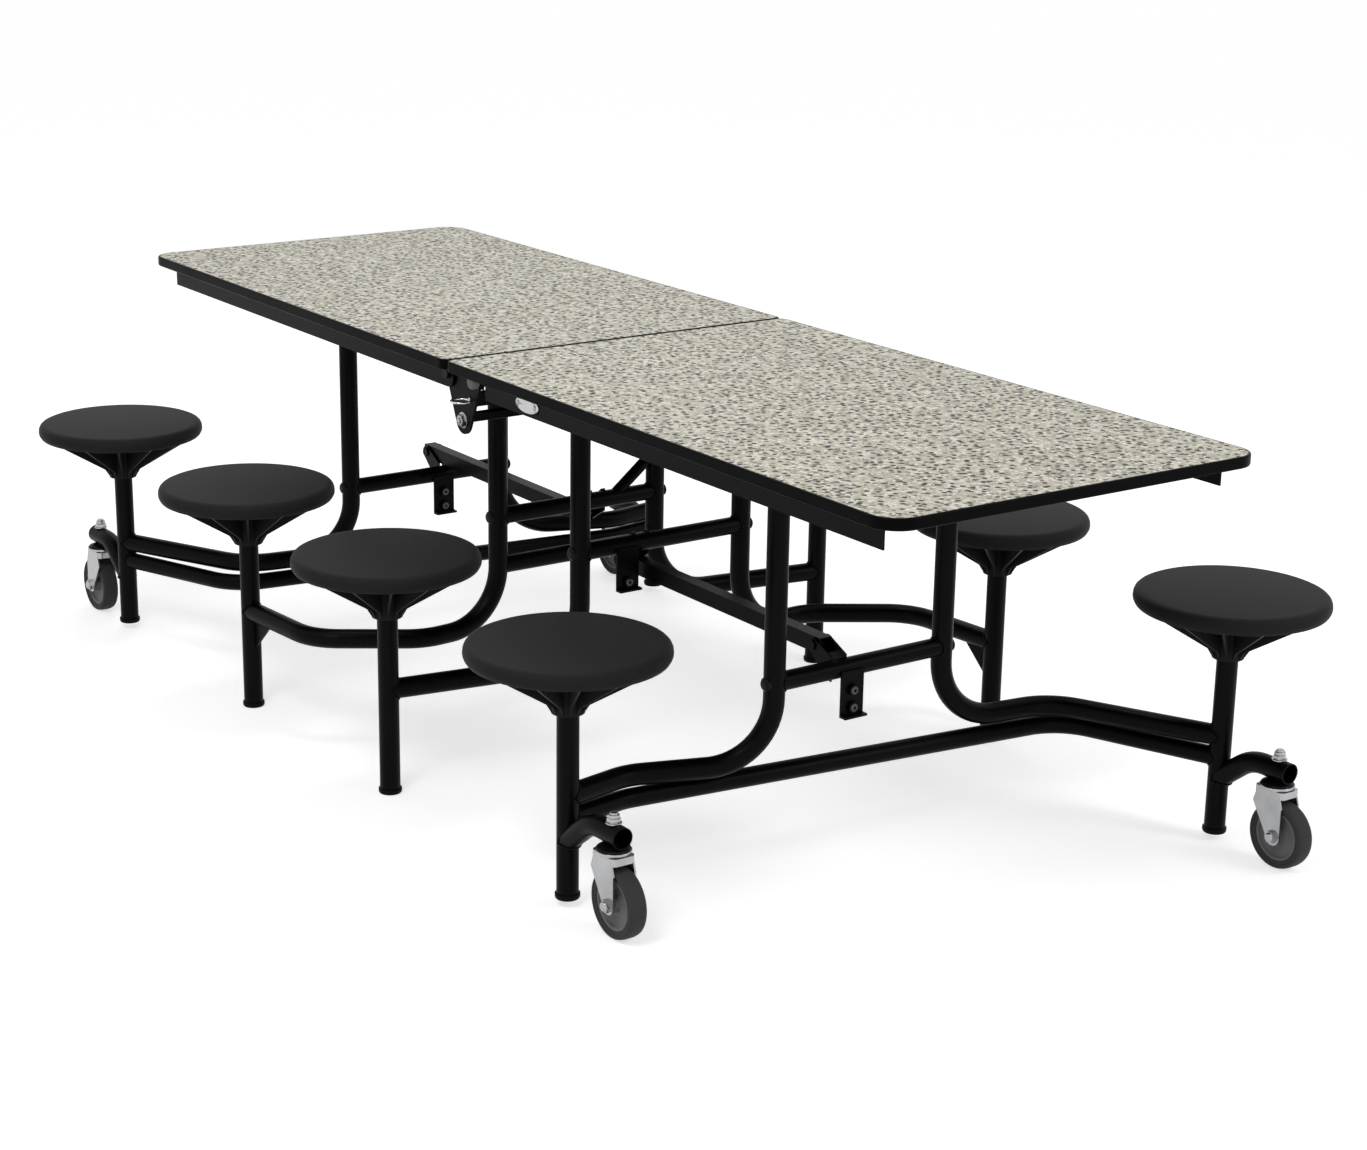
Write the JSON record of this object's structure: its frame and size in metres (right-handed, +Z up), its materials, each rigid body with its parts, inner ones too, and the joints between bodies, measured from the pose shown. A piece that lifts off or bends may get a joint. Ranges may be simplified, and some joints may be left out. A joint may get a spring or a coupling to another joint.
{
  "type": "folding cafeteria table",
  "caption": "Folding mobile cafeteria table with round fixed stools on bent tube frames, casters and a centre hinge.",
  "frame": {"origin": "on the floor under the middle of the seam between the two tops", "axes": "+X along the table towards the near end of the picture, +Y across it, +Z up"},
  "size_m": [2.456, 1.3946, 0.737],
  "materials": {
    "laminate": "speckled high pressure laminate on a particle board",
    "edge": "extruded vinyl edge moulding",
    "frame_steel": "black powder coat",
    "seat_plastic": "fine moulded grain",
    "black_fittings": "moulded caps",
    "zinc": "bright zinc plate",
    "chrome": "polished",
    "tyre": "grey rubber tread",
    "hub": "moulded grey hub"
  },
  "bodies": {
    "near_top": {"near_top_panel": "laminate", "near_edge_trim": "edge", "near_side_rails": "frame_steel", "near_leg_brackets": "frame_steel", "near_pivot_pins": "zinc"},
    "near_end_frame": {"near_end_legs": "frame_steel", "near_end_lower_tube": "frame_steel", "near_end_cross_tube": "frame_steel", "near_end_posts": "frame_steel", "near_end_seats": "seat_plastic", "near_end_outriggers": "frame_steel", "near_end_fittings": "zinc", "near_end_link_bracket": "frame_steel", "near_end_hanger_plate": "frame_steel"},
    "near_inner_frame": {"near_inner_arms": "frame_steel", "near_inner_cross_tube": "frame_steel", "near_inner_posts": "frame_steel", "near_inner_seats": "seat_plastic", "near_inner_fittings": "black_fittings", "near_inner_link_bracket": "frame_steel", "near_inner_hanger_plate": "frame_steel"},
    "near_link": {"near_link": "frame_steel"},
    "near_left_caster": {"near_left_caster_fork": "zinc"},
    "near_left_wheel": {"near_left_caster_tyre": "tyre", "near_left_caster_hub": "hub"},
    "near_right_caster": {"near_right_caster_fork": "zinc"},
    "near_right_wheel": {"near_right_caster_tyre": "tyre", "near_right_caster_hub": "hub"},
    "far_top": {"far_top_panel": "laminate", "far_edge_trim": "edge", "far_side_rails": "frame_steel", "far_leg_brackets": "frame_steel", "far_pivot_pins": "zinc"},
    "far_end_frame": {"far_end_legs": "frame_steel", "far_end_lower_tube": "frame_steel", "far_end_cross_tube": "frame_steel", "far_end_posts": "frame_steel", "far_end_seats": "seat_plastic", "far_end_outriggers": "frame_steel", "far_end_fittings": "zinc", "far_end_link_bracket": "frame_steel", "far_end_hanger_plate": "frame_steel"},
    "far_inner_frame": {"far_inner_arms": "frame_steel", "far_inner_cross_tube": "frame_steel", "far_inner_posts": "frame_steel", "far_inner_seats": "seat_plastic", "far_inner_fittings": "black_fittings", "far_inner_link_bracket": "frame_steel", "far_inner_bracing": "frame_steel"},
    "far_link": {"far_link": "frame_steel"},
    "far_left_caster": {"far_left_caster_fork": "zinc"},
    "far_left_wheel": {"far_left_caster_tyre": "tyre", "far_left_caster_hub": "hub"},
    "far_right_caster": {"far_right_caster_fork": "zinc"},
    "far_right_wheel": {"far_right_caster_tyre": "tyre", "far_right_caster_hub": "hub"},
    "centre_hinge": {"hinge_plates": "frame_steel", "hinge_tie_rod": "frame_steel", "latch_arm": "frame_steel"},
    "pull_ring": {"pull_ring": "chrome"}
  },
  "joints": [
    {"name": "main_fold", "type": "hinge", "parent": "near_end_frame", "child": "near_top", "pos_m": [0.715, 0, 0.692], "axis": [0, 1, 0], "range_deg": [0, 78]},
    {"name": "near_inner_leg_pivot", "type": "hinge", "parent": "near_top", "child": "near_inner_frame", "pos_m": [0.14, 0, 0.692], "axis": [0, 1, 0], "range_deg": [-78, 0]},
    {"name": "near_hinge_plate_pivot", "type": "hinge", "parent": "near_top", "child": "centre_hinge", "pos_m": [0.045, 0, 0.703], "axis": [0, 1, 0], "range_deg": [-78, 0]},
    {"name": "far_hinge_plate_pivot", "type": "hinge", "parent": "centre_hinge", "child": "far_top", "pos_m": [-0.045, 0, 0.703], "axis": [0, 1, 0], "range_deg": [-78, 0]},
    {"name": "far_end_leg_pivot", "type": "hinge", "parent": "far_top", "child": "far_end_frame", "pos_m": [-0.715, 0, 0.692], "axis": [0, 1, 0], "range_deg": [0, 78]},
    {"name": "far_inner_leg_pivot", "type": "hinge", "parent": "far_top", "child": "far_inner_frame", "pos_m": [-0.14, 0, 0.692], "axis": [0, 1, 0], "range_deg": [0, 78]},
    {"name": "near_link_pivot", "type": "hinge", "parent": "near_end_frame", "child": "near_link", "pos_m": [0.665, -0.045, 0.35], "axis": [0, 1, 0], "range_deg": [0, 78]},
    {"name": "far_link_pivot", "type": "hinge", "parent": "far_end_frame", "child": "far_link", "pos_m": [-0.765, 0.045, 0.356], "axis": [0, 1, 0], "range_deg": [-78, 0]},
    {"name": "pull_ring_slide", "type": "slide", "parent": "centre_hinge", "child": "pull_ring", "axis": [0, -1, 0], "range_m": [0, 0.012], "stiffness_N_per_m": 800, "springref_m": -0.004},
    {"name": "near_left_caster_swivel", "type": "hinge", "parent": "near_end_frame", "child": "near_left_caster", "pos_m": [0.79, -0.5343, 0.13], "axis": [0, 0, 1], "continuous": true},
    {"name": "near_left_wheel_spin", "type": "hinge", "parent": "near_left_caster", "child": "near_left_wheel", "pos_m": [0.806, -0.5343, 0.057], "axis": [0, 1, 0], "continuous": true},
    {"name": "near_right_caster_swivel", "type": "hinge", "parent": "near_end_frame", "child": "near_right_caster", "pos_m": [1.155, 0.5343, 0.13], "axis": [0, 0, 1], "continuous": true},
    {"name": "near_right_wheel_spin", "type": "hinge", "parent": "near_right_caster", "child": "near_right_wheel", "pos_m": [1.171, 0.5343, 0.057], "axis": [0, 1, 0], "continuous": true},
    {"name": "far_right_caster_swivel", "type": "hinge", "parent": "far_end_frame", "child": "far_right_caster", "pos_m": [-0.79, 0.5343, 0.13], "axis": [0, 0, 1], "continuous": true},
    {"name": "far_right_wheel_spin", "type": "hinge", "parent": "far_right_caster", "child": "far_right_wheel", "pos_m": [-0.806, 0.5343, 0.057], "axis": [0, 1, 0], "continuous": true},
    {"name": "far_left_caster_swivel", "type": "hinge", "parent": "far_end_frame", "child": "far_left_caster", "pos_m": [-1.155, -0.5343, 0.13], "axis": [0, 0, 1], "continuous": true},
    {"name": "far_left_wheel_spin", "type": "hinge", "parent": "far_left_caster", "child": "far_left_wheel", "pos_m": [-1.171, -0.5343, 0.057], "axis": [0, 1, 0], "continuous": true}
  ],
  "couplings": [
    {"joint": "near_inner_leg_pivot", "follows": "main_fold", "ratio": -1},
    {"joint": "near_hinge_plate_pivot", "follows": "main_fold", "ratio": -1},
    {"joint": "far_hinge_plate_pivot", "follows": "main_fold", "ratio": -1},
    {"joint": "far_end_leg_pivot", "follows": "main_fold", "ratio": 1},
    {"joint": "far_inner_leg_pivot", "follows": "main_fold", "ratio": 1},
    {"joint": "near_link_pivot", "follows": "main_fold", "ratio": 1},
    {"joint": "far_link_pivot", "follows": "main_fold", "ratio": -1}
  ]
}
